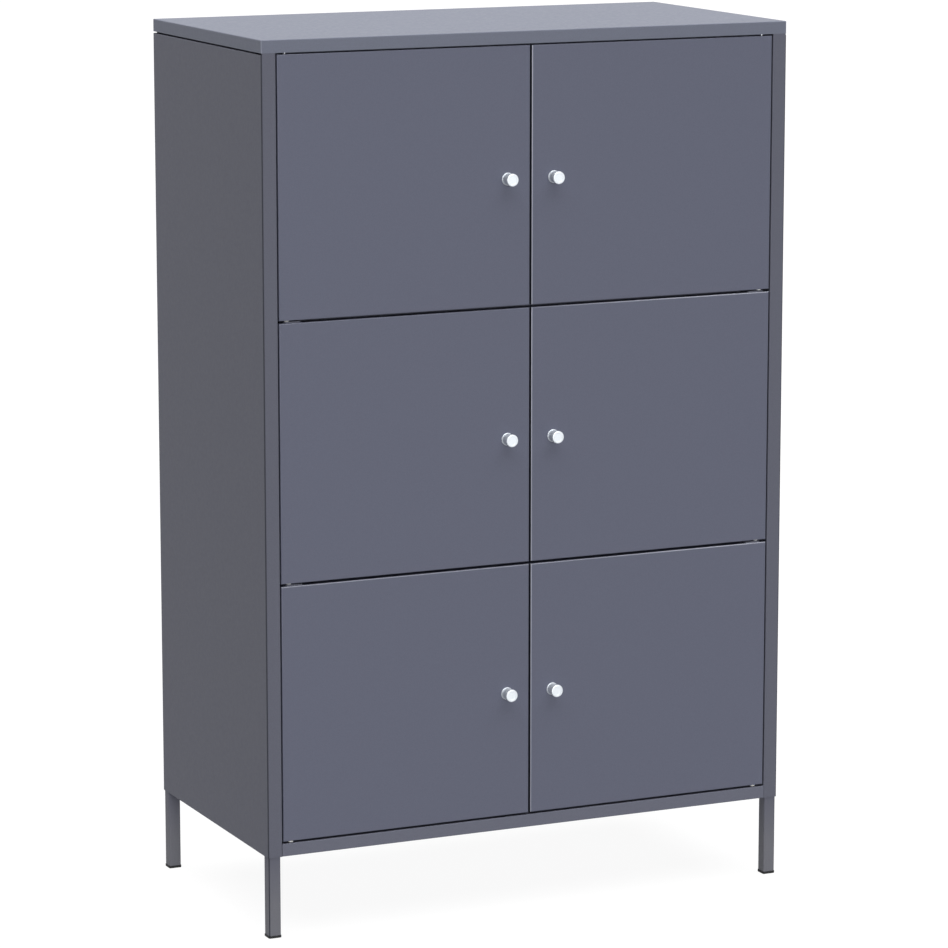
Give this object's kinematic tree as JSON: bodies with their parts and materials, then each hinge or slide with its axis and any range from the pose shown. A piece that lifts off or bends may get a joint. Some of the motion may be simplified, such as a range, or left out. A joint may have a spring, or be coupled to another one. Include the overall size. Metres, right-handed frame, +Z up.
{
  "type": "metal storage cabinet",
  "caption": "Free-standing sheet metal cabinet on square tube legs, with rows of paired hinged doors, round metal knobs, fixed shelves and magnetic catches.",
  "frame": {"origin": "on the floor, under the middle of the box that holds the whole cabinet with its knobs", "axes": "+Z up, +X to the right as seen from in front of the doors, +Y from the doors to the back"},
  "size_m": [0.68, 0.365, 1.06],
  "materials": {
    "powder_coat": "semi-matt blue-grey powder coat",
    "chrome": "polished",
    "zinc_plate": "bright zinc plate",
    "nylon": "natural white nylon",
    "black_plastic": "moulded, slightly textured",
    "magnet": "ground ferrite"
  },
  "bodies": {
    "carcass": {"top_cover": "powder_coat", "side_panel_left": "powder_coat", "side_panel_right": "powder_coat", "bottom_panel": "powder_coat", "back_panel_left": "powder_coat", "back_panel_right": "powder_coat", "pivot_plates": "powder_coat", "pivot_pins": "zinc_plate", "shelf_upper": "powder_coat", "shelf_lower": "powder_coat", "hinge_plates_upper": "powder_coat", "hinge_plates_lower": "powder_coat", "leg_front_left": "powder_coat", "leg_front_right": "powder_coat", "leg_rear_left": "powder_coat", "leg_rear_right": "powder_coat", "foot_cap_front_left": "black_plastic", "foot_cap_front_right": "black_plastic", "foot_cap_rear_left": "black_plastic", "foot_cap_rear_right": "black_plastic", "catch_top": "black_plastic", "catch_middle": "black_plastic", "catch_bottom": "black_plastic", "catch_magnets": "magnet", "frame_screws": "zinc_plate", "leg_screws": "zinc_plate", "back_screws": "zinc_plate", "catch_screws": "zinc_plate", "hinge_rivets": "zinc_plate"},
    "top_left_door": {"door_top_left": "powder_coat", "stiffener_top_left": "powder_coat", "knob_top_left": "chrome", "knob_screw_top_left": "zinc_plate", "bushes_top_left": "nylon"},
    "top_right_door": {"door_top_right": "powder_coat", "stiffener_top_right": "powder_coat", "knob_top_right": "chrome", "knob_screw_top_right": "zinc_plate", "bushes_top_right": "nylon"},
    "middle_left_door": {"door_middle_left": "powder_coat", "stiffener_middle_left": "powder_coat", "knob_middle_left": "chrome", "knob_screw_middle_left": "zinc_plate", "bushes_middle_left": "nylon"},
    "middle_right_door": {"door_middle_right": "powder_coat", "stiffener_middle_right": "powder_coat", "knob_middle_right": "chrome", "knob_screw_middle_right": "zinc_plate", "bushes_middle_right": "nylon"},
    "bottom_left_door": {"door_bottom_left": "powder_coat", "stiffener_bottom_left": "powder_coat", "knob_bottom_left": "chrome", "knob_screw_bottom_left": "zinc_plate", "bushes_bottom_left": "nylon"},
    "bottom_right_door": {"door_bottom_right": "powder_coat", "stiffener_bottom_right": "powder_coat", "knob_bottom_right": "chrome", "knob_screw_bottom_right": "zinc_plate", "bushes_bottom_right": "nylon"}
  },
  "joints": [
    {"name": "top_left_hinge", "type": "hinge", "parent": "carcass", "child": "top_left_door", "pos_m": [-0.309, -0.1615, 0.8896], "axis": [0, 0, -1], "range_deg": [0, 115]},
    {"name": "top_right_hinge", "type": "hinge", "parent": "carcass", "child": "top_right_door", "pos_m": [0.309, -0.1615, 0.8896], "axis": [0, 0, 1], "range_deg": [0, 115]},
    {"name": "middle_left_hinge", "type": "hinge", "parent": "carcass", "child": "middle_left_door", "pos_m": [-0.309, -0.1615, 0.5797], "axis": [0, 0, -1], "range_deg": [0, 115]},
    {"name": "middle_right_hinge", "type": "hinge", "parent": "carcass", "child": "middle_right_door", "pos_m": [0.309, -0.1615, 0.5797], "axis": [0, 0, 1], "range_deg": [0, 115]},
    {"name": "bottom_left_hinge", "type": "hinge", "parent": "carcass", "child": "bottom_left_door", "pos_m": [-0.309, -0.1615, 0.2699], "axis": [0, 0, -1], "range_deg": [0, 115]},
    {"name": "bottom_right_hinge", "type": "hinge", "parent": "carcass", "child": "bottom_right_door", "pos_m": [0.309, -0.1615, 0.2699], "axis": [0, 0, 1], "range_deg": [0, 115]}
  ]
}
